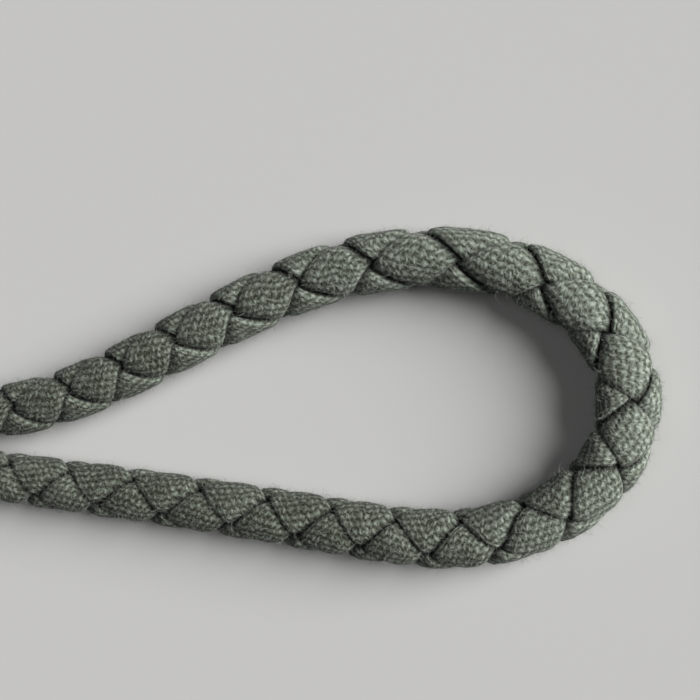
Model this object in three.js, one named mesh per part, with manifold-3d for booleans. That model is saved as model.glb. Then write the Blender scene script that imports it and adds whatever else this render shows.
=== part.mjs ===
// Wrist strap for a camera: a four-strand braided cotton cord, laid as one long loop,
// whose two ends sit side by side in a leather collar. A leather tab behind the collar
// holds a steel ring for the camera's strap lug. Millimetres, +Z up, lying on z = 0.
// The collar's underside is centred on the origin, and the loop reaches out along +X.
import * as THREE from "three";
import { mergeVertices } from "three/addons/utils/BufferGeometryUtils.js";
import Module from "manifold-3d";

const wasm = await Module();
wasm.setup();

// Driving dimensions
const CELL_RADIUS = 4.4; // cord's axis to the crown of a strand
const GROOVE_RADIUS = 3.6; // cord's axis to the bottom of a groove between strands
const LEATHER = 1.5;
const CLEARANCE = 0.3; // left between pieces that seat in each other
const RUN_SPACING = 9.2; // between the two cord ends' axes in the collar
const SEAT_HEIGHT = LEATHER + CLEARANCE + CELL_RADIUS; // cord's axis inside the collar
const COLLAR_LENGTH = 26;
const CORD_END_X = -7;
const TAB_WIDTH = 7;
const TAB_THICKNESS = 2.8; // two layers of leather
const TAB_DEPTH_IN_COLLAR = 4;
const EYE_X = -21;
const RING_RADIUS = 8;
const RING_BAND = 1.8; // radial width of the ring's flat section
const RING_THICKNESS = 2.2;
const RING_TILT = THREE.MathUtils.degToRad(7.7); // far side of the ring rests on z = 0

// The braid is drawn on a grid of this many steps round the cord and along each half
// turn of a strand, so that every groove runs along the grid's diagonals.
const SIDES = 12;
const STEPS_PER_CROSSING = SIDES / 2;

// Control points of the cord's axis: [x, y, z], from one end in the collar, round the
// wrist loop, and back to the other end.
const ROUTE = [
  [-7, -4.6, 6.2], [4, -4.6, 6.2], [15, -4.6, 6.2], [27, -4.6, 4.6], [40, -4.9, 4.4],
  [55, -5.6, 4.4], [71, -6.6, 4.4], [85, -7.8, 4.4], [98, -8.8, 4.4], [111, -9.8, 4.4],
  [124, -10.9, 4.4], [137, -12.1, 4.4], [149, -13.3, 4.4], [160, -14.5, 4.4],
  [170, -14.4, 4.4], [179, -12.2, 4.4], [187, -7.9, 4.4], [192.7, -1.6, 4.4],
  [194.7, 6.4, 4.4], [192.7, 14.4, 4.4], [186.7, 20.8, 4.4], [179, 25, 4.4],
  [169.5, 27.2, 4.4], [158, 27.3, 4.4], [146, 25.2, 4.4], [134, 20.7, 4.4],
  [122, 15.3, 4.4], [110, 9.8, 4.4], [98, 5.3, 4.4], [85, 2.6, 4.4], [70, 2.6, 4.4],
  [55, 3.6, 4.4], [40, 4.3, 4.4], [27, 4.6, 4.6], [15, 4.6, 6.2], [4, 4.6, 6.2],
  [-7, 4.6, 6.2],
];

// How the braid lies along the cord: at each crossing count, the distance along the
// cord in mm, and how far the pattern is turned from +Z towards the loop's outside.
const BRAID = [
  { crossing: 0, along: 0, turn: 36 },
  { crossing: 9, along: 108, turn: 36 },
  { crossing: 12, along: 144.7, turn: 36 },
  { crossing: 15, along: 177.2, turn: 38 },
  { crossing: 17, along: 198.5, turn: 37 },
  { crossing: 18, along: 207.2, turn: 32 },
  { crossing: 19, along: 216.3, turn: 20 },
  { crossing: 20, along: 226.8, turn: 4 },
  { crossing: 21, along: 238.8, turn: -8 },
  { crossing: 22, along: 253.4, turn: -9 },
  { crossing: 23, along: 266.2, turn: -9 },
  { crossing: 25, along: 290.3, turn: -4 },
  { crossing: 28, along: 323.3, turn: 2 },
  { crossing: 36.8, along: 427, turn: 2 },
];

// Uniform cubic B-spline through mirrored end points, so it starts and ends on them.
class CordRoute extends THREE.Curve {
  constructor(rows) {
    super();
    const inner = rows.map((row) => new THREE.Vector3(...row));
    const mirrored = (end, next) => end.clone().multiplyScalar(2).sub(next);
    const last = inner.length - 1;
    this.points = [
      mirrored(inner[0], inner[1]),
      ...inner,
      mirrored(inner[last], inner[last - 1]),
    ];
    this.arcLengthDivisions = 1600;
  }

  getPoint(t, target = new THREE.Vector3()) {
    const spans = this.points.length - 3;
    const span = Math.min(Math.floor(t * spans), spans - 1);
    const u = t * spans - span;
    const weights = [
      (1 - u) ** 3,
      3 * u ** 3 - 6 * u ** 2 + 4,
      -3 * u ** 3 + 3 * u ** 2 + 3 * u + 1,
      u ** 3,
    ];
    target.set(0, 0, 0);
    weights.forEach((w, i) => target.addScaledVector(this.points[span + i], w / 6));
    return target;
  }
}

// Smooth reading of one column of the BRAID table, by cubic Hermite steps.
function readBraid(column, crossing) {
  const slope = (i) => {
    const a = BRAID[Math.max(i - 1, 0)];
    const b = BRAID[Math.min(i + 1, BRAID.length - 1)];
    return (b[column] - a[column]) / (b.crossing - a.crossing);
  };
  let i = 0;
  while (i < BRAID.length - 2 && crossing > BRAID[i + 1].crossing) i += 1;
  const width = BRAID[i + 1].crossing - BRAID[i].crossing;
  const u = (crossing - BRAID[i].crossing) / width;
  const rise = BRAID[i + 1][column] - BRAID[i][column];
  const ease = u * u * (3 - 2 * u);
  const lead = u * (1 - u) ** 2 * slope(i) * width;
  const tail = u * u * (u - 1) * slope(i + 1) * width;
  return BRAID[i][column] + rise * ease + lead + tail;
}

function geometryFrom(positions, triangles) {
  const geometry = new THREE.BufferGeometry();
  geometry.setAttribute("position", new THREE.Float32BufferAttribute(positions, 3));
  geometry.setIndex(triangles);
  return geometry;
}

// The braided cord as one closed solid: rings across the cord, joined so that the
// grooves between strands follow both families of strands.
function braidedCordGeometry() {
  const route = new CordRoute(ROUTE);
  const length = route.getLength();
  const lastCrossing = BRAID[BRAID.length - 1].crossing;
  const ringCount = Math.round(lastCrossing * STEPS_PER_CROSSING);
  const up = new THREE.Vector3(0, 0, 1);
  const positions = [];
  const centres = [];
  for (let ring = 0; ring <= ringCount; ring += 1) {
    const crossing = ring / STEPS_PER_CROSSING;
    const share = THREE.MathUtils.clamp(readBraid("along", crossing) / length, 0, 1);
    const centre = route.getPointAt(share);
    const tangent = route.getTangentAt(share);
    const outward = new THREE.Vector3().crossVectors(tangent, up).normalize();
    const upward = new THREE.Vector3().crossVectors(outward, tangent);
    const turn = THREE.MathUtils.degToRad(readBraid("turn", crossing));
    centres.push(centre);
    for (let side = 0; side < SIDES; side += 1) {
      const round = (2 * Math.PI * side) / SIDES;
      const phase = Math.PI * crossing;
      const pillow = Math.abs(Math.cos(phase - round) * Math.cos(phase + round));
      const crown = Math.sqrt(pillow);
      const radius = THREE.MathUtils.lerp(GROOVE_RADIUS, CELL_RADIUS, crown);
      const point = centre
        .clone()
        .addScaledVector(outward, radius * Math.sin(turn + round))
        .addScaledVector(upward, radius * Math.cos(turn + round));
      positions.push(...point.toArray());
    }
  }
  const index = (ring, side) => ring * SIDES + (side % SIDES);
  const grooveAt = (n) => THREE.MathUtils.euclideanModulo(n, SIDES / 2) === SIDES / 4;
  const triangles = [];
  for (let ring = 0; ring < ringCount; ring += 1) {
    for (let side = 0; side < SIDES; side += 1) {
      const a = index(ring, side);
      const b = index(ring, side + 1);
      const c = index(ring + 1, side + 1);
      const d = index(ring + 1, side);
      if (grooveAt(ring - side)) triangles.push(a, b, c, a, c, d);
      else triangles.push(a, b, d, b, c, d);
    }
  }
  [0, ringCount].forEach((ring) => {
    const centre = positions.length / 3;
    positions.push(...centres[ring].toArray());
    for (let side = 0; side < SIDES; side += 1) {
      const a = index(ring, side);
      const b = index(ring, side + 1);
      if (ring === 0) triangles.push(centre, b, a);
      else triangles.push(centre, a, b);
    }
  });
  return geometryFrom(positions, triangles);
}

// A flat outline with round ends, drawn across the strap: x is the strap's Y.
function stadium(width, height) {
  const radius = height / 2;
  const reach = (width - height) / 2;
  const shape = new THREE.Shape();
  shape.absarc(reach, 0, radius, -Math.PI / 2, Math.PI / 2);
  shape.absarc(-reach, 0, radius, Math.PI / 2, (3 * Math.PI) / 2);
  return shape;
}

function roundedRectangle(shape, x, y, halfWidth, halfHeight, corner) {
  const across = halfWidth - corner;
  const tall = halfHeight - corner;
  shape.absarc(x + across, y + tall, corner, 0, Math.PI / 2);
  shape.absarc(x - across, y + tall, corner, Math.PI / 2, Math.PI);
  shape.absarc(x - across, y - tall, corner, Math.PI, (3 * Math.PI) / 2);
  shape.absarc(x + across, y - tall, corner, (3 * Math.PI) / 2, 2 * Math.PI);
  return shape;
}

// Extrudes an outline drawn in (Y, Z) along X, from one x to another.
function alongStrap(shape, fromX, toX, height) {
  const settings = { depth: toX - fromX, bevelEnabled: false, curveSegments: 10 };
  const geometry = new THREE.ExtrudeGeometry(shape, settings);
  const axes = [[0, 1, 0], [0, 0, 1], [1, 0, 0]].map((v) => new THREE.Vector3(...v));
  geometry.applyMatrix4(new THREE.Matrix4().makeBasis(...axes));
  return geometry.translate(fromX, 0, height);
}

function toSolid(geometry) {
  geometry.deleteAttribute("normal");
  geometry.deleteAttribute("uv");
  const merged = mergeVertices(geometry, 1e-4);
  return new wasm.Manifold(
    new wasm.Mesh({
      numProp: 3,
      vertProperties: new Float32Array(merged.attributes.position.array),
      triVerts: new Uint32Array(merged.index.array),
    }),
  );
}

function fromSolid(solid) {
  const mesh = solid.getMesh();
  return geometryFrom(mesh.vertProperties, Array.from(mesh.triVerts));
}

// Leather sleeve: a pocket for both cord ends in front, and a slot for the tab behind.
function collarGeometry() {
  const front = COLLAR_LENGTH / 2;
  const pocketWidth = RUN_SPACING + 2 * (CELL_RADIUS + CLEARANCE);
  const pocketHeight = 2 * (CELL_RADIUS + CLEARANCE);
  const outside = stadium(pocketWidth + 2 * LEATHER, pocketHeight + 2 * LEATHER);
  const slot = roundedRectangle(
    new THREE.Shape(), 0, 0,
    TAB_WIDTH / 2 + CLEARANCE, TAB_THICKNESS / 2 + CLEARANCE, CLEARANCE,
  );
  const slotEnd = -front + TAB_DEPTH_IN_COLLAR + CLEARANCE;
  const body = toSolid(alongStrap(outside, -front, front, SEAT_HEIGHT));
  const pocket = toSolid(
    alongStrap(stadium(pocketWidth, pocketHeight), CORD_END_X - CLEARANCE, front + 1, SEAT_HEIGHT),
  );
  const tabSlot = toSolid(alongStrap(slot, -front - 1, slotEnd, SEAT_HEIGHT));
  return fromSolid(body.subtract(pocket).subtract(tabSlot));
}

// The ring's bar, as the eye has to clear it: straight across the tab's width.
const INNER_RADIUS = RING_RADIUS - RING_BAND;
const BAR_NEAR = Math.sqrt(INNER_RADIUS ** 2 - (TAB_WIDTH / 2) ** 2);
const BAR_HALF = (RING_RADIUS - BAR_NEAR) / 2;
const RING_REACH = (RING_RADIUS + BAR_NEAR) / 2; // eye's middle to the ring's middle
const EYE_HALF_LENGTH = BAR_HALF + 1.5 * CLEARANCE;
const EYE_HALF_HEIGHT = RING_THICKNESS / 2 + 2 * CLEARANCE; // room for the tilted bar
const FOLD = TAB_THICKNESS / 2; // one layer, round the eye
const EYE_HEIGHT = EYE_HALF_HEIGHT + FOLD;

// Leather strip folded round the ring, its two layers let into the collar.
function tabGeometry() {
  const back = -COLLAR_LENGTH / 2;
  const legEnd = back + TAB_DEPTH_IN_COLLAR;
  const bendStart = back - 0.5;
  const top = SEAT_HEIGHT + TAB_THICKNESS / 2;
  const bottom = SEAT_HEIGHT - TAB_THICKNESS / 2;
  const corner = 0.9;
  const outerCorner = corner + FOLD;
  const run = EYE_HALF_LENGTH - corner;
  const farX = EYE_X - run;
  const nearX = EYE_X + run;
  const eyeTop = EYE_HEIGHT + EYE_HALF_HEIGHT + FOLD;
  const shape = new THREE.Shape();
  shape.moveTo(legEnd, bottom);
  shape.lineTo(legEnd, top);
  shape.lineTo(bendStart, top);
  shape.bezierCurveTo(bendStart - 3, top, nearX + 3, eyeTop, nearX, eyeTop);
  shape.lineTo(farX, eyeTop);
  shape.absarc(farX, eyeTop - outerCorner, outerCorner, Math.PI / 2, Math.PI);
  shape.absarc(farX, outerCorner, outerCorner, Math.PI, (3 * Math.PI) / 2);
  shape.lineTo(nearX, 0);
  shape.bezierCurveTo(nearX + 3, 0, bendStart - 3, bottom, bendStart, bottom);
  shape.closePath();
  shape.holes.push(
    roundedRectangle(new THREE.Path(), EYE_X, EYE_HEIGHT, EYE_HALF_LENGTH, EYE_HALF_HEIGHT, corner),
  );
  const settings = { depth: TAB_WIDTH, bevelEnabled: false, curveSegments: 8 };
  const geometry = new THREE.ExtrudeGeometry(shape, settings);
  const axes = [[1, 0, 0], [0, 0, 1], [0, -1, 0]].map((v) => new THREE.Vector3(...v));
  geometry.applyMatrix4(new THREE.Matrix4().makeBasis(...axes));
  return geometry.translate(0, TAB_WIDTH / 2, 0);
}

// Flat-section ring with broken edges, turned about Z and centred on its own middle.
function ringGeometry() {
  const chamfer = 0.25;
  const half = RING_THICKNESS / 2;
  const profile = [
    [INNER_RADIUS, half - chamfer],
    [INNER_RADIUS, -half + chamfer],
    [INNER_RADIUS + chamfer, -half],
    [RING_RADIUS - chamfer, -half],
    [RING_RADIUS, -half + chamfer],
    [RING_RADIUS, half - chamfer],
    [RING_RADIUS - chamfer, half],
    [INNER_RADIUS + chamfer, half],
    [INNER_RADIUS, half - chamfer],
  ].map(([x, y]) => new THREE.Vector2(x, y));
  return new THREE.LatheGeometry(profile, 40).rotateX(Math.PI / 2);
}

function piece(name, geometry, color, roughness, metalness) {
  const material = new THREE.MeshStandardMaterial({ color, roughness, metalness });
  const mesh = new THREE.Mesh(geometry, material);
  mesh.name = name;
  return mesh;
}

const strap = new THREE.Group();
strap.add(piece("braided_loop", braidedCordGeometry(), "#5d625a", 0.95, 0));
strap.add(piece("end_collar", collarGeometry(), "#3a2a20", 0.7, 0));
strap.add(piece("lug_tab", tabGeometry(), "#3a2a20", 0.7, 0));

// The ring is hinged at the tab's eye and leans down until its far side rests.
const ringSeat = new THREE.Group();
ringSeat.position.set(EYE_X, 0, EYE_HEIGHT);
ringSeat.rotation.y = -RING_TILT;
const ring = piece("lug_ring", ringGeometry(), "#b5b5b2", 0.3, 1);
ring.position.x = -RING_REACH;
ringSeat.add(ring);
strap.add(ringSeat);

export default strap;
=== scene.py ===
import math

import bpy
import numpy as np
from mathutils import Matrix, Vector


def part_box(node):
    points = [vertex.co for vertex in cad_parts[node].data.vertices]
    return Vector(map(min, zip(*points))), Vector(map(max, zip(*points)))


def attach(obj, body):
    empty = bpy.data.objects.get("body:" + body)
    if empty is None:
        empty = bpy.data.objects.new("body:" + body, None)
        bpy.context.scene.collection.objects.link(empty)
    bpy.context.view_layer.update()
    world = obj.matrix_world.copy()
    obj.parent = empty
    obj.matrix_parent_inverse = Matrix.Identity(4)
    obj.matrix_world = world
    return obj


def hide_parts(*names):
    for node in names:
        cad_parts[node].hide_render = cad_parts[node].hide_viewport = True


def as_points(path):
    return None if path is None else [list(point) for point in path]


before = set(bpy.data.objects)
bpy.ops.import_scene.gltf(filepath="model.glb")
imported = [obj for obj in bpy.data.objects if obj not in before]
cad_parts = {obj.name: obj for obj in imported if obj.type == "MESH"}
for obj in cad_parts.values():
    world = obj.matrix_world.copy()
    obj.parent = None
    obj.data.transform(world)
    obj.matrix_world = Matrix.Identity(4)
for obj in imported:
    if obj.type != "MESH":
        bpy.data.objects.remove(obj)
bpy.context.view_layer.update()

MM = 0.001  # points are in metres, and the leather's and the ring's sizes in mm
scene = bpy.context.scene


def highest(node):
    """The highest corner of a CAD node's box, in mm."""
    return np.round(np.array(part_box(node)[1]) / MM, 2)


# ---------------------------------------------------------------- node trees

class Value:
    """A number or direction inside a node tree; arithmetic on it adds nodes."""

    def __init__(self, tree, socket):
        self.tree = tree
        self.socket = socket

    def maths(self, operation, *others):
        return maths(self.tree, operation, self, *others)

    def __add__(self, other):
        return self.maths("ADD", other)

    def __sub__(self, other):
        return self.maths("SUBTRACT", other)

    def __rsub__(self, other):
        return maths(self.tree, "SUBTRACT", other, self)

    def __mul__(self, other):
        return self.maths("MULTIPLY", other)

    def __truediv__(self, other):
        return self.maths("DIVIDE", other)

    def __rtruediv__(self, other):
        return maths(self.tree, "DIVIDE", other, self)

    def __pow__(self, other):
        return self.maths("POWER", other)

    __radd__ = __add__
    __rmul__ = __mul__

    def times(self, scale):
        """A direction made longer by a number."""
        return add(self.tree, "ShaderNodeVectorMath", {0: self, "Scale": scale}, operation="SCALE")

    def plus(self, other):
        """The sum of two directions."""
        return add(self.tree, "ShaderNodeVectorMath", {0: self, 1: other}, operation="ADD")


def put(tree, value, socket):
    """Gives an input a plain value, or links it to one that the tree works out."""
    if isinstance(value, Value):
        tree.links.new(value.socket, socket)
    else:
        socket.default_value = value


def add(tree, kind, inputs=None, output=0, **settings):
    """Adds a node with its settings and inputs, and gives back one of its outputs."""
    node = tree.nodes.new(kind)
    for name, value in settings.items():
        setattr(node, name, value)
    for key, value in (inputs or {}).items():
        put(tree, value, node.inputs[key])
    return Value(tree, node.outputs[output])


def maths(tree, operation, *values):
    return add(tree, "ShaderNodeMath", dict(enumerate(values)), operation=operation)


def split(value):
    """The three numbers in a direction, a place or a colour."""
    node = value.tree.nodes.new("ShaderNodeSeparateXYZ")
    value.tree.links.new(value.socket, node.inputs[0])
    return [Value(value.tree, socket) for socket in node.outputs]


def join(tree, x, y, z=0.0):
    return add(tree, "ShaderNodeCombineXYZ", {0: x, 1: y, 2: z})


def noise(tree, where, scale, detail=2.0, roughness=0.5):
    return add(tree, "ShaderNodeTexNoise",
               {"Vector": where, "Scale": scale, "Detail": detail, "Roughness": roughness})


def between(value, low, high, to_low=0.0, to_high=1.0, smooth=True):
    """Moves a number from one range to another, held at both ends."""
    node = value.tree.nodes.new("ShaderNodeMapRange")
    node.interpolation_type = "SMOOTHSTEP" if smooth else "LINEAR"
    for key, item in enumerate((value, low, high, to_low, to_high)):
        put(value.tree, item, node.inputs[key])
    return Value(value.tree, node.outputs[0])


def mix(share, a, b):
    """Blends two numbers."""
    return a + (b - a) * share


def blend_colour(share, a, b):
    """Blends two colours."""
    return add(share.tree, "ShaderNodeMix", {0: share, 6: a, 7: b}, output=2, data_type="RGBA")


def attribute(tree, name):
    """A number kept on a piece's points, as its material reads it."""
    return add(tree, "ShaderNodeAttribute", output="Fac", attribute_name=name)


def new_tree(name, inputs):
    """A geometry tree with named inputs: {name: (socket type, default)}."""
    tree = bpy.data.node_groups.new(name, "GeometryNodeTree")
    tree.interface.new_socket("Geometry", in_out="INPUT", socket_type="NodeSocketGeometry")
    for label, (kind, default) in inputs.items():
        item = tree.interface.new_socket(label, in_out="INPUT", socket_type="NodeSocket" + kind)
        if default is not None:
            item.default_value = default
    tree.interface.new_socket("Geometry", in_out="OUTPUT", socket_type="NodeSocketGeometry")
    source = tree.nodes.new("NodeGroupInput")
    return tree, {s.name: Value(tree, s) for s in source.outputs if s.name}


def close_tree(tree, geometry, material):
    """Ends a tree in real faces with a material."""
    real = add(tree, "GeometryNodeRealizeInstances", {"Geometry": geometry})
    smooth = add(tree, "GeometryNodeSetShadeSmooth", {"Geometry": real})
    done = add(tree, "GeometryNodeSetMaterial", {"Geometry": smooth, "Material": material})
    put(tree, done, tree.nodes.new("NodeGroupOutput").inputs[0])


def grow(piece, tree, settings):
    """Runs a geometry tree on a piece and keeps the outcome as its plain mesh."""
    modifier = piece.modifiers.new(tree.name, "NODES")
    modifier.node_group = tree
    for item in tree.interface.items_tree:
        if item.in_out == "INPUT" and item.name in settings:
            modifier[item.identifier] = settings[item.name]
    graph = bpy.context.evaluated_depsgraph_get()
    mesh = bpy.data.meshes.new_from_object(
        piece.evaluated_get(graph), preserve_all_data_layers=True, depsgraph=graph)
    piece.modifiers.clear()
    piece.data = mesh
    mesh.name = piece.name
    return piece


def named(tree, name, kind="FLOAT"):
    return add(tree, "GeometryNodeInputNamedAttribute", {"Name": name}, data_type=kind)


def keep(tree, geometry, name, value, kind="FLOAT", domain="POINT"):
    return add(tree, "GeometryNodeStoreNamedAttribute",
               {"Geometry": geometry, "Name": name, "Value": value},
               data_type=kind, domain=domain)


def off_floor(spot, least):
    """Keeps a place from going below the surface the strap lies on."""
    x, y, z = split(spot)
    return join(spot.tree, x, y, z.maths("MAXIMUM", least))


# ---------------------------------------------------------------- plain meshes

def new_piece(name, points, faces=(), edges=(), materials=(), smooth=True):
    """A mesh object at the origin, from points in metres."""
    mesh = bpy.data.meshes.new(name)
    mesh.from_pydata([tuple(p) for p in points], list(edges), [tuple(f) for f in faces])
    mesh.update()
    if smooth and len(faces):
        mesh.polygons.foreach_set("use_smooth", [True] * len(faces))
    for material in materials:
        mesh.materials.append(material)
    piece = bpy.data.objects.new(name, mesh)
    scene.collection.objects.link(piece)
    return piece


def set_attribute(piece, name, rows, kind="FLOAT"):
    """Stores one number or direction for each point."""
    field, width = {"FLOAT": ("value", 1), "FLOAT_VECTOR": ("vector", 3)}[kind]
    layer = piece.data.attributes.new(name, kind, "POINT")
    flat = np.asarray(rows, np.float32).reshape(-1, width)
    layer.data.foreach_set(field, flat.ravel())


def set_uv(piece, rows):
    """Lays a flat map, in millimetres, over a piece from one pair for each point."""
    layer = piece.data.uv_layers.new(name="UVMap")
    corners = np.zeros(len(piece.data.loops), np.int32)
    piece.data.loops.foreach_get("vertex_index", corners)
    layer.data.foreach_set("uv", np.asarray(rows, np.float32)[corners].ravel())


def unit(rows):
    """Directions made one long."""
    return rows / np.linalg.norm(rows, axis=1)[:, None]


def loft(loops):
    """Joins equal loops of points into one closed skin, with a fan over either end.
    The middles of the two fans are its last two points."""
    count = len(loops[0])
    points = np.vstack([*loops, loops[0].mean(axis=0), loops[-1].mean(axis=0)])
    start_middle, end_middle = len(points) - 2, len(points) - 1
    steps = [(k, (k + 1) % count) for k in range(count)]
    faces = []
    for low in range(0, (len(loops) - 1) * count, count):
        high = low + count
        faces += [(high + a, high + b, low + b, low + a) for a, b in steps]
    end = (len(loops) - 1) * count
    faces += [(a, b, start_middle) for a, b in steps]
    faces += [(end_middle, end + b, end + a) for a, b in steps]
    return points, faces


def rounded_rectangle(half_wide, half_high, corner, corner_points, filling=0):
    """An outline with round corners, and more points along its two long sides."""
    outline = []
    for k, (side, rise) in enumerate([(1, 1), (-1, 1), (-1, -1), (1, -1)]):
        for turn in np.linspace(0, math.pi / 2, corner_points):
            angle = turn + k * math.pi / 2
            outline.append((side * (half_wide - corner) + corner * math.cos(angle),
                            rise * (half_high - corner) + corner * math.sin(angle)))
        if k % 2 == 0:
            for share in np.linspace(0, 1, filling + 2)[1:-1]:
                outline.append((side * (1 - 2 * share) * (half_wide - corner), rise * half_high))
    return np.array(outline)


# ---------------------------------------------------------------- camera

CAMERA_TARGET = Vector((0.151, 0.0135, 0.0044))
CAMERA_DISTANCE = 0.236
CAMERA_LEAN = math.radians(25)  # from straight above, towards the loop's tip


def make_camera():
    camera = bpy.data.cameras.new("view")
    camera.lens = 80
    camera.sensor_width = 36
    camera.clip_start = 0.01
    stand = bpy.data.objects.new("view", camera)
    scene.collection.objects.link(stand)
    back = Vector((math.sin(CAMERA_LEAN), 0, math.cos(CAMERA_LEAN)))
    up = Vector((0, 1, 0))
    turned = Matrix((up.cross(back), up, back)).transposed().to_4x4()
    stand.matrix_world = Matrix.Translation(CAMERA_TARGET + back * CAMERA_DISTANCE) @ turned
    scene.camera = stand


make_camera()


# ---------------------------------------------------------------- the cord's line

# The middle of the cord: from one end in the collar, round the wrist loop, and back.
ROUTE = [
    (-0.007, -0.0046, 0.0062), (0.004, -0.0046, 0.0062), (0.015, -0.0046, 0.0062),
    (0.027, -0.0046, 0.0046), (0.040, -0.0049, 0.0044), (0.055, -0.0056, 0.0044),
    (0.071, -0.0066, 0.0044), (0.085, -0.0078, 0.0044), (0.098, -0.0088, 0.0044),
    (0.111, -0.0098, 0.0044), (0.124, -0.0109, 0.0044), (0.137, -0.0121, 0.0044),
    (0.149, -0.0133, 0.0044), (0.160, -0.0145, 0.0044), (0.170, -0.0144, 0.0044),
    (0.179, -0.0122, 0.0044), (0.187, -0.0079, 0.0044), (0.1927, -0.0016, 0.0044),
    (0.1947, 0.0064, 0.0044), (0.1927, 0.0144, 0.0044), (0.1867, 0.0208, 0.0044),
    (0.179, 0.025, 0.0044), (0.1695, 0.0272, 0.0044), (0.158, 0.0273, 0.0044),
    (0.146, 0.0252, 0.0044), (0.134, 0.0207, 0.0044), (0.122, 0.0153, 0.0044),
    (0.110, 0.0098, 0.0044), (0.098, 0.0053, 0.0044), (0.085, 0.0026, 0.0044),
    (0.070, 0.0026, 0.0044), (0.055, 0.0036, 0.0044), (0.040, 0.0043, 0.0044),
    (0.027, 0.0046, 0.0046), (0.015, 0.0046, 0.0062), (0.004, 0.0046, 0.0062),
    (-0.007, 0.0046, 0.0062),
]

# How the braid lies along the cord. A crossing is where a strand comes round to the
# same side again: the metres along the cord, how many degrees the pattern is turned
# towards the outside of the loop, and how full the cord is there.
BRAID = [
    (0, 0.0000, 36, 0.945), (9, 0.1080, 36, 0.945), (12, 0.1447, 36, 0.955),
    (15, 0.1772, 38, 0.975), (17, 0.1985, 37, 0.99), (18, 0.2072, 32, 1.0),
    (19, 0.2163, 20, 1.01), (20, 0.2268, 4, 1.01), (21, 0.2388, -8, 1.01),
    (22, 0.2534, -9, 1.01), (23, 0.2662, -9, 1.0), (25, 0.2903, -4, 0.99),
    (28, 0.3233, 2, 0.98), (36.8, 0.427, 2, 0.955),
]
CROSSINGS = BRAID[-1][0]
FRAMES_PER_CROSSING = 40


def spline(points, steps=40):
    """A smooth line through the pull of its points, from the first to the last."""
    inner = np.array(points, float)
    rows = np.vstack([2 * inner[0] - inner[1], inner, 2 * inner[-1] - inner[-2]])
    u = np.arange(steps) / steps
    pull = np.stack([(1 - u) ** 3, 3 * u ** 3 - 6 * u ** 2 + 4,
                     -3 * u ** 3 + 3 * u ** 2 + 3 * u + 1, u ** 3], axis=1) / 6
    spans = [pull @ rows[i:i + 4] for i in range(len(rows) - 3)]
    return np.vstack(spans + [inner[-1:]])


def read_braid(column, crossing):
    """One column of the braid's table, read smoothly between its rows."""
    table = np.array(BRAID, float)
    at, value = table[:, 0], table[:, column]
    rows = np.arange(len(at))
    before, after = np.maximum(rows - 1, 0), np.minimum(rows + 1, len(at) - 1)
    slope = (value[after] - value[before]) / (at[after] - at[before])
    i = np.clip(np.searchsorted(at, crossing, side="right") - 1, 0, len(at) - 2)
    width = at[i + 1] - at[i]
    u = (crossing - at[i]) / width
    ease = u * u * (3 - 2 * u)
    lead = u * (1 - u) ** 2 * slope[i] * width
    tail = u * u * (u - 1) * slope[i + 1] * width
    return value[i] + (value[i + 1] - value[i]) * ease + lead + tail


class CordLine:
    """The cord's line, and the two directions across it that the braid is drawn on."""

    def __init__(self):
        line = spline(ROUTE)
        reach = np.linalg.norm(np.diff(line, axis=0), axis=1)
        distance = np.concatenate([[0], np.cumsum(reach)])
        crossing = np.linspace(0, CROSSINGS, int(CROSSINGS * FRAMES_PER_CROSSING) + 1)
        along = read_braid(1, crossing) * distance[-1] / BRAID[-1][1]
        turn = np.radians(read_braid(2, crossing))[:, None]
        heading = np.gradient(line, axis=0)

        def pick(rows):
            return np.stack([np.interp(along, distance, c) for c in rows.T], axis=1)

        self.line = line
        self.middle = pick(line)
        forward = unit(pick(heading))
        outward = unit(np.cross(forward, [0, 0, 1]))
        upward = np.cross(outward, forward)
        self.over = np.sin(turn) * outward + np.cos(turn) * upward
        self.aside = np.cos(turn) * outward - np.sin(turn) * upward
        self.fullness = read_braid(3, crossing)


cord_line = CordLine()


# ---------------------------------------------------------------- materials

def new_material(name, colour, roughness, **sockets):
    material = bpy.data.materials.new(name)
    material.use_nodes = True
    tree = material.node_tree
    shader = tree.nodes["Principled BSDF"]
    shader.inputs["Base Color"].default_value = (*colour, 1)
    shader.inputs["Roughness"].default_value = roughness
    for label, value in sockets.items():
        shader.inputs[label.replace("_", " ")].default_value = value
    return material, tree, shader


def bump(tree, shader, height, distance, strength=1.0):
    normal = add(tree, "ShaderNodeBump",
                 {"Strength": strength, "Distance": distance, "Height": height})
    put(tree, normal, shader.inputs["Normal"])


WARP_PITCH = 1.02  # mm from one warp yarn to the next
WEFT_PITCH = 0.64
SWAY = 1.4  # mm that the yarns wander over a long way, and over a short one
JOG = 1.1


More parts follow.
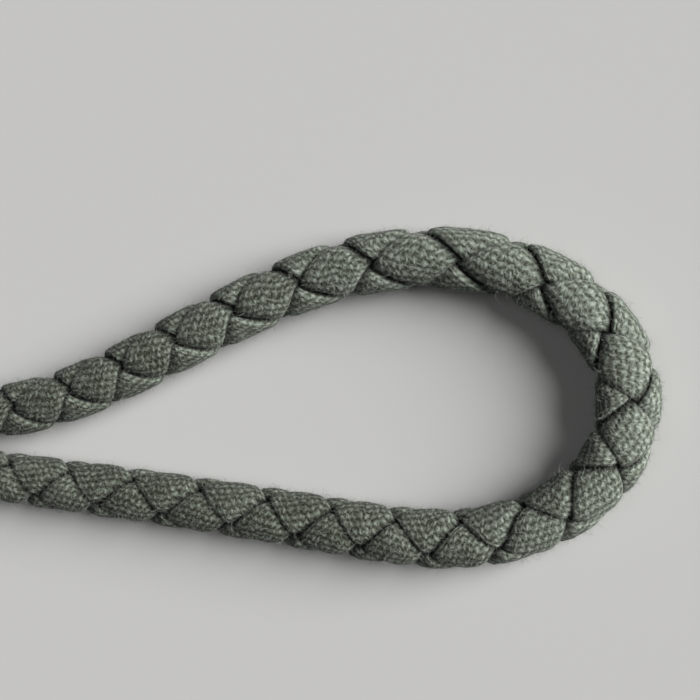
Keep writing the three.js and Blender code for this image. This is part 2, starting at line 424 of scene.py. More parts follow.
def plain_weave(tree, u, v):
    """Soft oval floats over a flat map in mm: their height, and each yarn's own tint.
    The warp runs along the strand, and the weft across it."""
    place = join(tree, u, v)
    sway_u, sway_v, _ = split(add(
        tree, "ShaderNodeTexNoise", {"Vector": place, "Scale": 0.35, "Detail": 1.0}, "Color"))
    jog_u, jog_v, _ = split(add(
        tree, "ShaderNodeTexNoise", {"Vector": place, "Scale": 1.5, "Detail": 2.0}, "Color"))
    weft = (u + (sway_u - 0.5) * SWAY + (jog_u - 0.5) * JOG) / WEFT_PITCH
    warp = (v + (sway_v - 0.5) * SWAY + (jog_v - 0.5) * JOG) / WARP_PITCH
    row, column = weft.maths("FLOOR"), warp.maths("FLOOR")
    beside_weft = weft - row - 0.5
    beside_warp = warp - column - 0.5

    def chance(x, y):
        return add(tree, "ShaderNodeTexWhiteNoise", {"Vector": join(tree, x, y)}, "Value")

    def swell(turns):
        return (turns * (2 * math.pi)).maths("COSINE")

    # A warp float stands proud over every other weft, with the weft sunk between.
    warp_top = 0.56 + swell((weft + column) / 2) * 0.24 + swell(beside_warp) * 0.24
    weft_top = 0.40 - swell((warp + row) / 2) * 0.18 + swell(beside_weft) * 0.22
    warp_top = warp_top + (chance(row, column) - 0.5) * 0.16
    height = warp_top.maths("SMOOTH_MAX", weft_top, 0.2)
    on_warp = between(warp_top - weft_top, -0.1, 0.1)
    slub_warp = noise(tree, join(tree, column * 2.7, weft * 0.3), 1.0)
    slub_weft = noise(tree, join(tree, warp * 0.3, row * 3.1), 1.0)
    tint = mix(on_warp, slub_weft, slub_warp * 0.6 + chance(column, row) * 0.4)
    return height, tint


def washed_olive(tree, shade):
    """The dye's colours, from dark to light; the dark it gives between the yarns is painted shade."""
    ramp = tree.nodes.new("ShaderNodeValToRGB")
    put(tree, shade, ramp.inputs[0])
    stops = [(0.05, (0.026, 0.026, 0.019)), (0.35, (0.076, 0.084, 0.064)),
             (0.65, (0.165, 0.188, 0.152)), (1.0, (0.33, 0.372, 0.32))]
    for _ in stops[2:]:
        ramp.color_ramp.elements.new(0.5)
    for element, (position, colour) in zip(ramp.color_ramp.elements, stops):
        element.position = position
        element.color = (*colour, 1)
    return Value(tree, ramp.outputs[0])


def cotton_material():
    """Washed canvas: plain weave, uneven dye; painted shade between yarns and in grooves, painted fold
    highlight, painted light along the cord.
    """
    material, tree, shader = new_material(
        "braided_cotton", (0.13, 0.15, 0.12), 0.95,
        Sheen_Weight=0.06, Sheen_Roughness=0.45, Specular_IOR_Level=0.15)
    u, v, _ = split(add(tree, "ShaderNodeTexCoord", output="UV"))
    height, tint = plain_weave(tree, u, v)
    place = join(tree, u, v)
    fade = noise(tree, place, 0.16, 3.0)
    mottle = noise(tree, place, 1.6, 3.0, 0.6)
    hairs = noise(tree, join(tree, u * 1.5, v), 4.2, 3.0, 0.75)
    crown = attribute(tree, "crown")
    # Painted highlight: lighter along the folded edges of the strands that lie on top.
    wear_and_fold_highlight = between(attribute(tree, "fold"), 0.78, 0.92) * between(crown, 3.4, 3.7)
    # The yarns' height darkens the gaps between them: painted shade. Tint, hairs, mottle and fade are
    # the dye's own unevenness.
    shade = (height * 0.9 + (tint - 0.5) * 0.5 + (hairs - 0.5) * 1.0
             + (mottle - 0.5) * 0.6 + (fade - 0.5) * 0.4 + wear_and_fold_highlight * 0.12
             # painted light at the bend and painted shade towards the cord's ends
             + (attribute(tree, "painted_bend_light") - 0.8) * 0.24)
    # Painted shade: the colour goes towards black where the surface lies deep, in the grooves between
    # strands.
    painted_groove_shade = between(crown, 3.1, 4.2, 0.93, 0.0)
    tone = blend_colour(painted_groove_shade, washed_olive(tree, shade), (0.006, 0.006, 0.005, 1))
    put(tree, tone, shader.inputs["Base Color"])
    bump(tree, shader, height + (tint - 0.5) * 0.3 + hairs * 0.3, 0.26 * MM, 0.9)
    return material


def fibre_material():
    """Single cotton fibres, some bleached and some still dark."""
    material, tree, shader = new_material(
        "cotton_fibre", (0.34, 0.36, 0.32), 0.9,
        Sheen_Weight=0.4, Sheen_Roughness=0.4, Specular_IOR_Level=0.2)
    place = add(tree, "ShaderNodeTexCoord", output="Object")
    put(tree, blend_colour(noise(tree, place, 300.0), (0.11, 0.12, 0.10, 1), (0.42, 0.44, 0.39, 1)),
        shader.inputs["Base Color"])
    return material


def leather_material():
    """Dark brown leather: fine pebbled grain in uneven patches, paler where it is rubbed."""
    material, tree, shader = new_material(
        "collar_leather", (0.09, 0.045, 0.024), 0.5,
        Specular_IOR_Level=0.3, Coat_Weight=0.06, Coat_Roughness=0.4)
    place = add(tree, "ShaderNodeTexCoord", output="Object")
    cells = add(tree, "ShaderNodeTexVoronoi", {"Vector": place, "Scale": 1500.0, "Randomness": 1.0},
                feature="DISTANCE_TO_EDGE")
    pebble = between(cells, 0.0, 0.22)
    creases = noise(tree, place, 380.0, 4.0, 0.6)
    patches = noise(tree, place, 90.0, 3.0, 0.55)
    wear = noise(tree, place, 220.0, 5.0, 0.7)
    edge = attribute(tree, "edge_wear")
    tone = blend_colour(between(patches, 0.3, 0.7), (0.062, 0.030, 0.016, 1), (0.125, 0.064, 0.034, 1))
    tone = blend_colour(between(pebble, 0.0, 1.0, 0.45, 0.0), tone, (0.028, 0.014, 0.008, 1))
    wear_and_fold_highlight = edge * between(wear, 0.35, 0.7)
    tone = blend_colour(wear_and_fold_highlight * 0.75, tone, (0.25, 0.145, 0.085, 1))
    put(tree, tone, shader.inputs["Base Color"])
    put(tree, mix(between(wear, 0.3, 0.7), 0.50, 0.68) + wear_and_fold_highlight * 0.06, shader.inputs["Roughness"])
    bump(tree, shader, pebble * 0.6 + creases * 0.9 + patches * 0.5, 0.07 * MM, 0.9)
    return material


def thread_material():
    """Waxed linen thread, twisted."""
    material, tree, shader = new_material(
        "stitch_thread", (0.42, 0.40, 0.31), 0.6,
        Sheen_Weight=0.2, Sheen_Roughness=0.5, Specular_IOR_Level=0.3)
    u, v, _ = split(add(tree, "ShaderNodeTexCoord", output="UV"))
    place = add(tree, "ShaderNodeTexCoord", output="Object")
    twist = ((u * 3.0 + v * 2.0) * (2 * math.pi)).maths("SINE") * 0.5 + 0.5
    tone = blend_colour(noise(tree, place, 900.0), (0.30, 0.285, 0.215, 1), (0.50, 0.475, 0.375, 1))
    tone = blend_colour(twist * 0.5, tone, (0.20, 0.185, 0.13, 1))
    put(tree, tone, shader.inputs["Base Color"])
    bump(tree, shader, twist, 0.06 * MM, 0.8)
    return material


def steel_material():
    """Satin steel, brushed round the ring, with handling marks."""
    material, tree, shader = new_material(
        "ring_steel", (0.56, 0.56, 0.55), 0.3, Metallic=1.0, Anisotropic=0.3)
    u, v, _ = split(add(tree, "ShaderNodeTexCoord", output="UV"))
    place = add(tree, "ShaderNodeTexCoord", output="Object")
    brushed = noise(tree, join(tree, u * 0.25, v * 14.0), 1.0, 4.0, 0.7)
    smudge = noise(tree, place, 260.0, 3.0, 0.6)
    nicks = noise(tree, place, 1400.0, 3.0, 0.6)
    tone = blend_colour(between(smudge, 0.35, 0.7), (0.60, 0.60, 0.59, 1), (0.46, 0.455, 0.44, 1))
    put(tree, tone, shader.inputs["Base Color"])
    put(tree, between(brushed * 0.7 + smudge * 0.3, 0.3, 0.7, 0.22, 0.42), shader.inputs["Roughness"])
    bump(tree, shader, brushed + between(nicks, 0.62, 0.72, 0.0, 0.8), 0.012 * MM, 0.6)
    return material


cotton = cotton_material()
fibre = fibre_material()
leather = leather_material()
thread = thread_material()
steel = steel_material()


# ---------------------------------------------------------------- braided cord

STRAND = {
    "Strand Thickness": 1.72 * MM,
    "Middle Radius": 2.84 * MM,
    "Wide Strand Fill": 1.0,
    "Narrow Strand Fill": 0.825,
    "Wide Fill at Start": 0.89,
    "Narrow Fill at Start": 0.98,
    "Edge Squareness": 5.5,
    "Top Squareness": 2.2,
    "Wide Strand Dive": 2.5,
    "Narrow Strand Dive": 5.0,
    "Wide Strand Drape": 0.35 * MM,
    "Narrow Strand Drape": 0.0,
    "Fold Height": 0.10 * MM,
    "Pucker Depth": 0.16 * MM,
    "Seed": 4.0,
}
MIDDLE_CROSSING = 19.5  # at the bend, where the cord's painted light is brightest; painted shade grows towards its ends
BEND_STARTS = (15, 18)  # crossings between which the two families' widths change
ROWS_PER_CROSSING = 21
POINTS_ROUND = 32
STEP_PER_TURN = 2.76  # mm along a strand, for one radian of the braid
HALF_STRAND = 4.3  # mm, flat half width of a strand


def four_tubes(tree, given):
    """Four plain tubes that know which strand they are, and how far along and round it
    each of their points lies."""
    def share():
        return add(tree, "GeometryNodeSplineParameter", output="Factor")

    line = add(tree, "GeometryNodeCurvePrimitiveLine", {"End": (0, 0, 1)})
    line = add(tree, "GeometryNodeResampleCurve", {"Curve": line, "Count": given["Rows"]})
    line = keep(tree, line, "run", share())
    section = add(tree, "GeometryNodeCurvePrimitiveCircle",
                  {"Resolution": given["Points Round"], "Radius": 0.3})
    section = keep(tree, section, "round", share())
    tube = add(tree, "GeometryNodeCurveToMesh",
               {"Curve": line, "Profile Curve": section, "Fill Caps": True})
    four = add(tree, "GeometryNodeMeshLine", {"Count": 4, "Offset": (0, 0, 0)})
    tubes = add(tree, "GeometryNodeInstanceOnPoints", {"Points": four, "Instance": tube})
    tubes = keep(tree, tubes, "strand", add(tree, "GeometryNodeInputIndex"), domain="INSTANCE")
    return add(tree, "GeometryNodeRealizeInstances", {"Geometry": tubes})


def flattened(tree, given):
    """A strand's section: from fold to fold, and above or below its own middle."""
    lap = named(tree, "round") * (2 * math.pi)
    lap = lap + lap.maths("COSINE") * 0.38 + (lap * 2).maths("SINE") * 0.1
    cosine, sine = lap.maths("COSINE"), lap.maths("SINE")
    across = (cosine.maths("ABSOLUTE") ** (2 / given["Edge Squareness"])) * cosine.maths("SIGN")
    above = (sine.maths("ABSOLUTE") ** (2 / given["Top Squareness"])) * sine.maths("SIGN")
    return across, above


def rumpled(tree, given, along, across, on_top, seed):
    """How far the cloth's lumps, its creases and its folded edges stand up."""
    where = join(tree, along * STEP_PER_TURN, across * HALF_STRAND, seed * 5.0)
    lumps = noise(tree, where, 0.22, 2.0) - 0.5
    pleats = join(tree, along * STEP_PER_TURN, across * 1.2, seed * 9.0)
    creases = noise(tree, pleats, 0.75, 2.0) - 0.5
    rim = ((across.maths("ABSOLUTE") - 0.9) / 0.08) ** 2
    rim = (rim * -1).maths("EXPONENT") * on_top
    return given["Pucker Depth"] * (lumps * 2.2 + creases * 0.9) + given["Fold Height"] * rim


def on_cord_line(tree, given, phase, angle, radius):
    """The place at a turn round the cord and a distance from its line."""
    place = (phase / (math.pi * given["Crossings"])) * (given["Frames"] - 1)
    below = place.maths("FLOOR")
    part = place - below

    def frame_value(value, kind="FLOAT_VECTOR"):
        ends = [add(tree, "GeometryNodeSampleIndex",
                    {"Geometry": given["Geometry"], "Value": value, "Index": below + step},
                    data_type=kind, domain="POINT", clamp=True) for step in (0, 1)]
        if kind == "FLOAT":
            return mix(part, *ends)
        return ends[0].times(1 - part).plus(ends[1].times(part))

    middle = frame_value(add(tree, "GeometryNodeInputPosition"))
    over = frame_value(named(tree, "over", "FLOAT_VECTOR"))
    aside = frame_value(named(tree, "aside", "FLOAT_VECTOR"))
    reach = radius * frame_value(named(tree, "fullness"), "FLOAT")
    spot = middle.plus(over.times(angle.maths("COSINE") * reach))
    return spot.plus(aside.times(angle.maths("SINE") * reach))


def strand_tree():
    """Four interlaced strands round the cord's line. Two run each way, and each goes
    over one and under one of the others."""
    floats = {label: ("Float", value) for label, value in STRAND.items()}
    tree, given = new_tree("braid_strands", {
        **floats, "Crossings": ("Float", CROSSINGS), "Rows": ("Int", 100),
        "Points Round": ("Int", POINTS_ROUND), "Frames": ("Int", 100), "Material": ("Material", None)})
    tubes = four_tubes(tree, given)
    across, above = flattened(tree, given)
    strand = named(tree, "strand")
    way = (strand / 2).maths("FLOOR")  # 0 for the two wide strands, 1 for the narrow ones
    sense = 1 - way * 2
    start = (strand - way * 2) * math.pi

    # Along the strand, with closer rows where it lies on top.
    half = mix(way, given["Wide Strand Fill"], given["Narrow Strand Fill"]) * (math.pi / 2)
    first = half + way * math.pi + 0.5
    last = given["Crossings"] * (2 * math.pi) - half + way * math.pi - 0.5
    pace = mix(named(tree, "run"), first, last)
    climb = pace - pace.maths("SINE") * 0.45
    along = climb - start - way * math.pi

    # Across it. Before the bend the two families are nearer to one width.
    seed = given["Seed"] + strand * 7.3
    uneven = noise(tree, join(tree, along * 0.8, across.maths("SIGN") * 3.0, seed), 1.0) - 0.5
    passed = between(along, *(crossing * 2 * math.pi for crossing in BEND_STARTS))
    at_start = mix(way, given["Wide Fill at Start"], given["Narrow Fill at Start"]) * (math.pi / 2)
    spread = mix(passed, at_start, half)
    offset = start + across * spread * (1 + uneven * 0.16)

    # Over and under: a strand stays up or down, and dives between.
    height = climb.maths("COSINE")
    dive = mix(way, given["Wide Strand Dive"], given["Narrow Strand Dive"])
    steady = 1 - (1 - height.maths("ABSOLUTE")) ** dive
    level = steady * height.maths("SIGN")
    on_top = between(height, -0.1, 0.6)
    bulge = rumpled(tree, given, along, across, on_top, seed)
    drape = mix(way, given["Wide Strand Drape"], given["Narrow Strand Drape"])
    drape = drape * on_top * across.maths("ABSOLUTE") ** 4
    half_thick = given["Strand Thickness"] / 2
    radius = (given["Middle Radius"] + half_thick * level + half_thick * above - drape
              + bulge * above.maths("MAXIMUM", 0.0))
    spot = on_cord_line(tree, given, (along + offset) / 2, (offset - along) * sense / 2, radius)

    # The cloth's own flat map, in millimetres, along and round the strand.
    flat = across.maths("ABSOLUTE") * HALF_STRAND
    upper = above.maths("GREATER_THAN", 0.0)
    girth = mix(upper, 2 * HALF_STRAND - flat, flat) + half_thick * (1 - above) / MM
    chart = join(tree, along * STEP_PER_TURN + strand * 31.0,
                 girth * across.maths("SIGN") + strand * 17.0)

    far = (along / (2 * math.pi) - MIDDLE_CROSSING).maths("ABSOLUTE")
    shape = keep(tree, tubes, "UVMap", chart, "FLOAT2", "CORNER")
    shape = keep(tree, shape, "crown", radius / MM)
    shape = keep(tree, shape, "fold", across.maths("ABSOLUTE"))
    # Painted light: 1 at the bend, falling to 0 towards the cord's ends, which the cotton turns lighter
    # and darker.
    shape = keep(tree, shape, "painted_bend_light", between(far, 1.5, 8.5, 1.0, 0.0))
    shape = add(tree, "GeometryNodeSetPosition",
                {"Geometry": shape, "Position": off_floor(spot, 0.05 * MM)})
    # The wide strands wind the other way, which turns their skins inside out.
    shape = add(tree, "GeometryNodeFlipFaces", {
        "Mesh": shape, "Selection": named(tree, "strand").maths("LESS_THAN", 1.5)})
    close_tree(tree, shape, given["Material"])
    return tree


def make_cord():
    cord = new_piece("braided_cord", cord_line.middle)
    set_attribute(cord, "over", cord_line.over, "FLOAT_VECTOR")
    set_attribute(cord, "aside", cord_line.aside, "FLOAT_VECTOR")
    set_attribute(cord, "fullness", cord_line.fullness)
    grow(cord, strand_tree(), {
        **STRAND, "Crossings": CROSSINGS, "Rows": int(CROSSINGS * ROWS_PER_CROSSING),
        "Points Round": POINTS_ROUND, "Frames": len(cord_line.middle), "Material": cotton})
    return cord


cord = make_cord()
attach(cord, "root")
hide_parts("braided_loop")
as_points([tuple(p) for p in cord_line.line[::8]] + [tuple(cord_line.line[-1])])


# ---------------------------------------------------------------- loose fibres

# Rarity makes the long ones few, and Stoutness is how much thicker a longer one is.
LOOSE = {"Fibres per Square Metre": 830000.0, "Thickness": 0.045 * MM, "Shortest": 0.4 * MM,
         "Longest": 1.5 * MM, "Rarity": 2.5, "Stoutness": 1.0, "Lean": 0.9, "Lowest Crown": 3.7}
NAP = {"Fibres per Square Metre": 4000000.0, "Thickness": 0.045 * MM, "Shortest": 0.2 * MM,
       "Longest": 1.0 * MM, "Rarity": 1.8, "Stoutness": 0.3, "Lean": 1.0, "Lowest Crown": 3.6}


def curled_fibre(tree, given):
    """One thin bent fibre, a millimetre or so long."""
    stem = add(tree, "GeometryNodeCurvePrimitiveBezierSegment", {
        "Resolution": 3, "Start": (0, 0, -0.0001), "Start Handle": (0.0001, 0.00005, 0.0005),
        "End Handle": (0.0004, 0.0004, 0.0007), "End": (0.0009, 0.0004, 0.0005)})
    taper = between(add(tree, "GeometryNodeSplineParameter", output="Factor"), 0.4, 1.0, 1.0, 0.35)
    girth = add(tree, "GeometryNodeCurvePrimitiveCircle",
                {"Resolution": 3, "Radius": given["Thickness"] / 2})
    return add(tree, "GeometryNodeCurveToMesh", {
        "Curve": stem, "Profile Curve": girth, "Scale": taper, "Fill Caps": True})


def nap_tip(tree, given):
    """One short pointed end of fibre."""
    return add(tree, "GeometryNodeMeshCone", {
        "Vertices": 3, "Radius Top": 0.0, "Radius Bottom": given["Thickness"] / 2, "Depth": MM})


def fuzz_tree(name, sizes, make_fibre):
    """Fibres standing off the outside of the cord, each at its own lean and length."""
    floats = {label: ("Float", value) for label, value in sizes.items()}
    tree, given = new_tree(name, {**floats, "Seed": ("Int", 0), "Material": ("Material", None)})
    outside = add(tree, "FunctionNodeCompare", {0: named(tree, "crown"), 1: given["Lowest Crown"]},
                  operation="GREATER_THAN", data_type="FLOAT")
    roots = tree.nodes.new("GeometryNodeDistributePointsOnFaces")
    for key, value in (("Mesh", given["Geometry"]), ("Selection", outside),
                       ("Density", given["Fibres per Square Metre"]), ("Seed", given["Seed"])):
        put(tree, value, roots.inputs[key])

    def chance(low, high, step):
        return add(tree, "FunctionNodeRandomValue", {2: low, 3: high, "Seed": given["Seed"] + step},
                   output=1, data_type="FLOAT")

    def turned(rotation, axis, angle):
        twist = add(tree, "FunctionNodeAxisAngleToRotation", {"Axis": axis, "Angle": angle})
        return add(tree, "FunctionNodeRotateRotation", {0: rotation, 1: twist}, rotation_space="LOCAL")

    stance = turned(Value(tree, roots.outputs["Rotation"]), (0, 0, 1), chance(0.0, 2 * math.pi, 1))
    stance = turned(stance, (1, 0, 0), chance(0.0, 1.0, 2) * given["Lean"])
    length = mix(chance(0.0, 1.0, 3) ** given["Rarity"], given["Shortest"], given["Longest"]) / MM
    girth = length ** given["Stoutness"]
    fibres = add(tree, "GeometryNodeInstanceOnPoints", {
        "Points": Value(tree, roots.outputs["Points"]), "Instance": make_fibre(tree, given),
        "Rotation": stance, "Scale": join(tree, girth, girth, length)})
    fibres = add(tree, "GeometryNodeRealizeInstances", {"Geometry": fibres})
    fibres = add(tree, "GeometryNodeSetPosition", {
        "Geometry": fibres, "Position": off_floor(add(tree, "GeometryNodeInputPosition"), 0.01 * MM)})
    close_tree(tree, fibres, given["Material"])
    return tree


def make_fuzz(name, sizes, make_fibre, seed):
    fuzz = bpy.data.objects.new(name, cord.data.copy())
    scene.collection.objects.link(fuzz)
    grow(fuzz, fuzz_tree(name, sizes, make_fibre), {**sizes, "Seed": seed, "Material": fibre})
    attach(fuzz, "root")


make_fuzz("loose_fibres", LOOSE, curled_fibre, 11)
make_fuzz("cotton_nap", NAP, nap_tip, 23)


# ---------------------------------------------------------------- leather collar

COLLAR_END = highest("end_collar")[0]  # from the collar's middle to either end
COLLAR_RADIUS = highest("end_collar")[2] / 2
COLLAR_REACH = 4.6  # from the collar's axis to each cord's axis
POCKET_RADIUS = 4.5
POCKET_END = -7.3
COLLAR_POINTS = 96
PINCH_TOP = 0.75  # depth of the valley between the two cords, above and below
PINCH_UNDER = 0.45
VALLEY_WIDTH = 2.1
OUTER_LIP = 0.7  # radius of the collar's end edges, outside and in the mouth
INNER_LIP = 0.55
STITCH_ROW = 10.9


def collar_loop(x, radius, reach=COLLAR_REACH, pinch=0.0):
    """One closed outline of the collar across the strap, in mm."""
    quarter = COLLAR_POINTS // 4
    bend = np.linspace(-math.pi / 2, math.pi / 2, quarter * 3 // 2, endpoint=False)
    run = np.linspace(1, -1, COLLAR_POINTS // 2 - len(bend), endpoint=False)
    right = np.stack([reach + radius * np.cos(bend), radius * np.sin(bend)], axis=1)
    top = np.stack([reach * run, np.full(len(run), radius)], axis=1)
    half = np.vstack([right, top])
    outline = np.vstack([half, -half])
    valley = np.exp(-(outline[:, 0] / VALLEY_WIDTH) ** 2)
    outline[:, 1] -= pinch * np.where(outline[:, 1] > 0, PINCH_TOP, -PINCH_UNDER) * valley
    return np.column_stack([np.full(len(outline), x), outline[:, 0], outline[:, 1] + COLLAR_RADIUS])


def collar_stations():
    """The collar's skin from the pocket's end, out over the mouth, and round to the
    tab's slot: x, radius, reach, pinch, wear."""
    rows = [(x, POCKET_RADIUS, COLLAR_REACH, 0.0, 0.0) for x in (POCKET_END, 11.4)]
    for turn in np.linspace(0, math.pi / 2, 5):
        rows.append((COLLAR_END - INNER_LIP + INNER_LIP * math.sin(turn),
                     POCKET_RADIUS + INNER_LIP * (1 - math.cos(turn)), COLLAR_REACH, 0.4, 0.8))
    for turn in np.linspace(0, math.pi / 2, 6):
        rows.append((COLLAR_END - OUTER_LIP + OUTER_LIP * math.cos(turn),
                     COLLAR_RADIUS - OUTER_LIP + OUTER_LIP * math.sin(turn) - 0.05,
                     COLLAR_REACH, 0.7, 1.0))
    # A creased line by the edge, the stitches' furrow, and gentle waves between.
    dips = {12.05: 0.0, 11.9: 0.16, 11.75: 0.0, STITCH_ROW + 0.45: 0.0, STITCH_ROW: 0.14,
            STITCH_ROW - 0.45: 0.0, 8.5: -0.03, 6.0: 0.03, 3.0: -0.04, 0.5: 0.02}
    front = [(x, COLLAR_RADIUS - dip, COLLAR_REACH, 1.0, 0.25 if x > 11.9 else 0.0)
             for x, dip in dips.items()]
    rows += front + [(-x, *rest) for x, *rest in reversed(front)]
    for turn in np.linspace(0, math.pi / 2, 6):
        rows.append((-COLLAR_END + OUTER_LIP - OUTER_LIP * math.sin(turn),
                     COLLAR_RADIUS - OUTER_LIP + OUTER_LIP * math.cos(turn),
                     COLLAR_REACH, 0.8, 1.0))
    rows += [(-13.0, 4.6, 4.4, 0.5, 0.3), (-13.0, 3.2, 3.6, 0.2, 0.0), (-12.97, 2.0, 2.3, 0.0, 0.6),
             (-12.7, 1.75, 2.1, 0.0, 0.8), (-8.9, 1.7, 2.1, 0.0, 0.0)]
    return rows


def make_collar():
    rows = collar_stations()
    loops = [collar_loop(x, radius, reach, pinch) for x, radius, reach, pinch, _ in rows]
    points, faces = loft(loops)
    points[:, 2] = np.maximum(points[:, 2], 0.01)  # pressed flat on the floor
    collar = new_piece("leather_collar", points * MM, faces, materials=[leather])
    wear = np.repeat([row[4] for row in rows], COLLAR_POINTS)
    set_attribute(collar, "edge_wear", np.concatenate([wear, [0, 0]]))
    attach(collar, "root")
    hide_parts("end_collar")


make_collar()


# ---------------------------------------------------------------- leather tab

TAB_HALF_WIDTH = highest("lug_tab")[1]
LAYER = 1.4
WORN_EDGE = 0.6  # how far in from the tab's edge the leather is rubbed
WORN_EDGE_FADE = 0.45
TAB_PATH = [  # x and z of the middle of one strip of leather, folded round the ring
    (-9, 6.91), (-11, 6.91), (-13.5, 6.9), (-15.5, 6.6), (-17.5, 6.0), (-19.5, 5.55),
    (-21, 5.47), (-22.7, 5.3), (-23.75, 4.3), (-23.8, 3.1), (-23.7, 1.8), (-22.7, 0.85),
    (-21, 0.68), (-19.6, 0.8), (-18.7, 1.7), (-17.9, 3.3), (-16.9, 4.5), (-15.2, 5.15),
    (-13.4, 5.47), (-11, 5.49), (-9, 5.49),
]


def tab_frames():
    """The strip's middle line in x and z, and which way its outer face looks."""
    line = spline([(x, z, 0) for x, z in TAB_PATH], 8)[:, :2]
    heading = unit(np.gradient(line, axis=0))
    return line, np.column_stack([heading[:, 1], -heading[:, 0]])


def make_tab():
    line, face = tab_frames()
    outline = rounded_rectangle(TAB_HALF_WIDTH, LAYER / 2, corner=0.32, corner_points=4, filling=7)
    to_edge = TAB_HALF_WIDTH - np.abs(outline[:, 0])
    wear = np.clip((WORN_EDGE - to_edge) / WORN_EDGE_FADE, 0, 1)
    loops = [np.column_stack([middle[0] + outline[:, 1] * out[0], outline[:, 0],
                              middle[1] + outline[:, 1] * out[1]])
             for middle, out in zip(line, face)]
    points, faces = loft(loops)
    tab = new_piece("leather_tab", points * MM, faces, materials=[leather])
    set_attribute(tab, "edge_wear", np.concatenate([np.tile(wear, len(loops)), [0, 0]]))
    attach(tab, "root")
    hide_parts("lug_tab")


make_tab()


# ---------------------------------------------------------------- stitching

STITCH = {"Pitch": 2.5 * MM, "Length": 2.0 * MM, "Thickness": 0.62 * MM, "Slant": 0.12}
COLLAR_SEAM = 8.6  # half the length of the seams along the collar
TAB_SEAM = (-17.4, -13.9)  # between which x the tab's layers are sewn
TAB_SEAM_ASIDE = 2.35


def stitch_tree():
    """One slanting stitch at each step along the sewn lines."""
    floats = {label: ("Float", value) for label, value in STITCH.items()}
    tree, given = new_tree("saddle_stitches", {**floats, "Material": ("Material", None)})
    ball = tree.nodes.new("GeometryNodeMeshUVSphere")
    for key, value in (("Segments", 8), ("Rings", 6), ("Radius", 0.5)):
        ball.inputs[key].default_value = value
    shape = keep(tree, Value(tree, ball.outputs["Mesh"]), "UVMap",
                 Value(tree, ball.outputs["UV Map"]), "FLOAT2", "CORNER")
    spot_x, spot_y, spot_z = split(add(tree, "GeometryNodeInputPosition"))
    # The sphere's poles lie along the thread.
    laid = join(tree, spot_z * given["Length"], spot_y * given["Thickness"],
                spot_x * given["Thickness"] * 0.75)
    shape = add(tree, "GeometryNodeSetPosition", {"Geometry": shape, "Position": laid})
    shape = add(tree, "GeometryNodeFlipFaces", {"Mesh": shape})
    row = add(tree, "GeometryNodeMeshToCurve", {"Mesh": given["Geometry"]})
    row = add(tree, "GeometryNodeResampleCurve", {"Curve": row, "Length": given["Pitch"]}, mode="LENGTH")
    lay = add(tree, "FunctionNodeAxesToRotation",
              {0: add(tree, "GeometryNodeInputTangent"), 1: named(tree, "out", "FLOAT_VECTOR")},
              primary_axis="X", secondary_axis="Z")
    slant = add(tree, "FunctionNodeAxisAngleToRotation", {"Axis": (0, 0, 1), "Angle": given["Slant"]})
    lay = add(tree, "FunctionNodeRotateRotation", {0: lay, 1: slant}, rotation_space="LOCAL")
    stitches = add(tree, "GeometryNodeInstanceOnPoints",
                   {"Points": row, "Instance": shape, "Rotation": lay})
    stitches = add(tree, "GeometryNodeRealizeInstances", {"Geometry": stitches})
    stitches = add(tree, "GeometryNodeSetPosition", {
        "Geometry": stitches, "Position": off_floor(add(tree, "GeometryNodeInputPosition"), 0.01 * MM)})
    close_tree(tree, stitches, given["Material"])
    return tree


def make_stitches(name, rows):
    """Sews along rows of (points in mm, outward directions, closed)."""
    points, outs, edges = [], [], []
    for line, out, closed in rows:
        first = len(points)
        points += list(line)
        outs += list(out)
        edges += [(first + k, first + k + 1) for k in range(len(line) - 1)]
        if closed:
            edges.append((len(points) - 1, first))
    piece = new_piece(name, np.array(points) * MM, edges=edges)
    set_attribute(piece, "out", outs, "FLOAT_VECTOR")
    grow(piece, stitch_tree(), {**STITCH, "Material": thread})
    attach(piece, "root")


def collar_rows():
    """Round the collar near each end, and along its valleys above and below."""
    rows = []
    for x in (STITCH_ROW, -STITCH_ROW):
        loop = collar_loop(x, COLLAR_RADIUS - 0.08, pinch=1.0)
        ahead = np.roll(loop, -1, axis=0) - np.roll(loop, 1, axis=0)
        out = np.cross(ahead, [1, 0, 0])
        rows.append((loop, unit(out), True))
    along = np.linspace(COLLAR_SEAM, -COLLAR_SEAM, 24)
    for side, depth in ((1, PINCH_TOP), (-1, PINCH_UNDER)):
        height = COLLAR_RADIUS + side * (COLLAR_RADIUS - depth)
        line = [(x, 0, height) for x in along]
        rows.append((line, [(0, 0, side)] * len(line), False))
    return rows


def tab_rows():
    """Two short lines down each layer of the tab, between the collar and the ring."""
    line, face = tab_frames()
    rows = []
    half = len(line) // 2
    for part in (slice(0, half), slice(half, None)):
        inside = (line[part, 0] < TAB_SEAM[1]) & (line[part, 0] > TAB_SEAM[0])
        middle, out = line[part][inside], face[part][inside]
        surface = middle + out * (LAYER / 2 - 0.05)  # the thread is pulled in a little
        for y in (-TAB_SEAM_ASIDE, TAB_SEAM_ASIDE):
            rows.append((np.column_stack([surface[:, 0], np.full(len(surface), y), surface[:, 1]]),
                         np.column_stack([out[:, 0], np.zeros(len(out)), out[:, 1]]), False))
    return rows


make_stitches("collar_stitches", collar_rows())
make_stitches("tab_stitches", tab_rows())


# ---------------------------------------------------------------- steel ring

RING_RADIUS = highest("lug_ring")[1]
RING_BAND = 1.8
RING_THICKNESS = 2.2
RING_TILT = math.radians(7.7)
EYE_MIDDLE = Vector((-21.0, 0, 3.1))
RING_OFFSET = 6.559  # from the eye's middle to the ring's middle


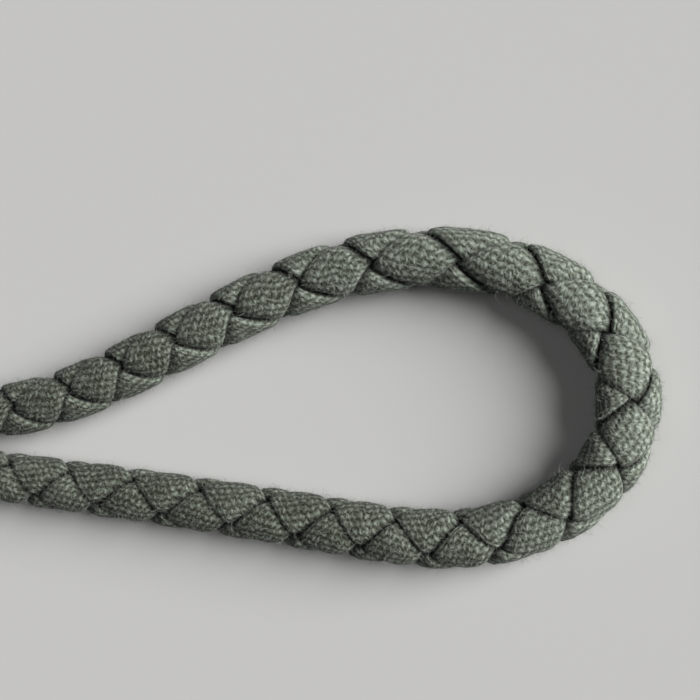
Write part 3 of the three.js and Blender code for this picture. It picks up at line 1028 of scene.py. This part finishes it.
def make_ring():
    around = 144
    section = rounded_rectangle(RING_BAND / 2, RING_THICKNESS / 2, corner=0.38, corner_points=6)
    middle = RING_RADIUS - RING_BAND / 2
    loops = []
    for turn in np.linspace(0, 2 * math.pi, around, endpoint=False):
        reach = middle + section[:, 0]
        loops.append(np.column_stack([reach * math.cos(turn), reach * math.sin(turn), section[:, 1]]))
    points = np.vstack(loops)
    count = len(section)
    faces = [(a * count + k, a * count + (k + 1) % count,
              (a + 1) % around * count + (k + 1) % count, (a + 1) % around * count + k)
             for a in range(around) for k in range(count)]
    points[:, 0] -= RING_OFFSET
    place = Matrix.Translation(EYE_MIDDLE) @ Matrix.Rotation(-RING_TILT, 4, "Y")
    ring = new_piece("steel_ring", [place @ Vector(p) * MM for p in points], faces, materials=[steel])
    ring.data.flip_normals()
    girth = np.concatenate([[0], np.cumsum(np.linalg.norm(np.diff(section, axis=0), axis=1))])
    turns = np.repeat(np.arange(around) * 2 * math.pi * middle / around, count)
    set_uv(ring, np.column_stack([turns, np.tile(girth, around)]))
    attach(ring, "root")
    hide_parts("lug_ring")


make_ring()


# ---------------------------------------------------------------- floor and light

def make_floor():
    size = 12.0
    corners = [(-size, -size, 0), (size, -size, 0), (size, size, 0), (-size, size, 0)]
    material, *_ = new_material("pale_floor", (0.64, 0.635, 0.62), 0.95, Specular_IOR_Level=0.05)
    new_piece("floor", corners, [(0, 1, 2, 3)], materials=[material], smooth=False)


def aim(lamp, place, target):
    holder = bpy.data.objects.new(lamp.name, lamp)
    scene.collection.objects.link(holder)
    holder.location = place
    holder.rotation_euler = (Vector(target) - Vector(place)).to_track_quat("-Z", "Y").to_euler()


def light_the_studio():
    """A broad soft light from past the loop's tip, a weak one overhead, and pale walls
    that look brighter than the light they give."""
    walls_give, walls_look = 0.035, 0.545
    key = bpy.data.lights.new("key", "SUN")
    key.angle = math.radians(36)
    key.energy = 5.4
    aim(key, (1.64, 0.38, 0.78), (0.14, 0.01, 0))
    fill = bpy.data.lights.new("fill", "AREA")
    fill.shape = "DISK"
    fill.size = 1.0
    fill.energy = 1.6
    fill.color = (0.95, 0.98, 1.0)
    aim(fill, (0.12, 0.12, 1.5), (0.12, 0, 0))
    scene.world = bpy.data.worlds.new("studio")
    scene.world.use_nodes = True
    tree = scene.world.node_tree
    walls = tree.nodes["Background"]
    walls.inputs[0].default_value = (1.0, 0.99, 0.975, 1)
    seen = add(tree, "ShaderNodeLightPath", output="Is Camera Ray")
    put(tree, mix(seen, walls_give, walls_look), walls.inputs[1])


make_floor()
light_the_studio()
scene.view_settings.view_transform = "Standard"
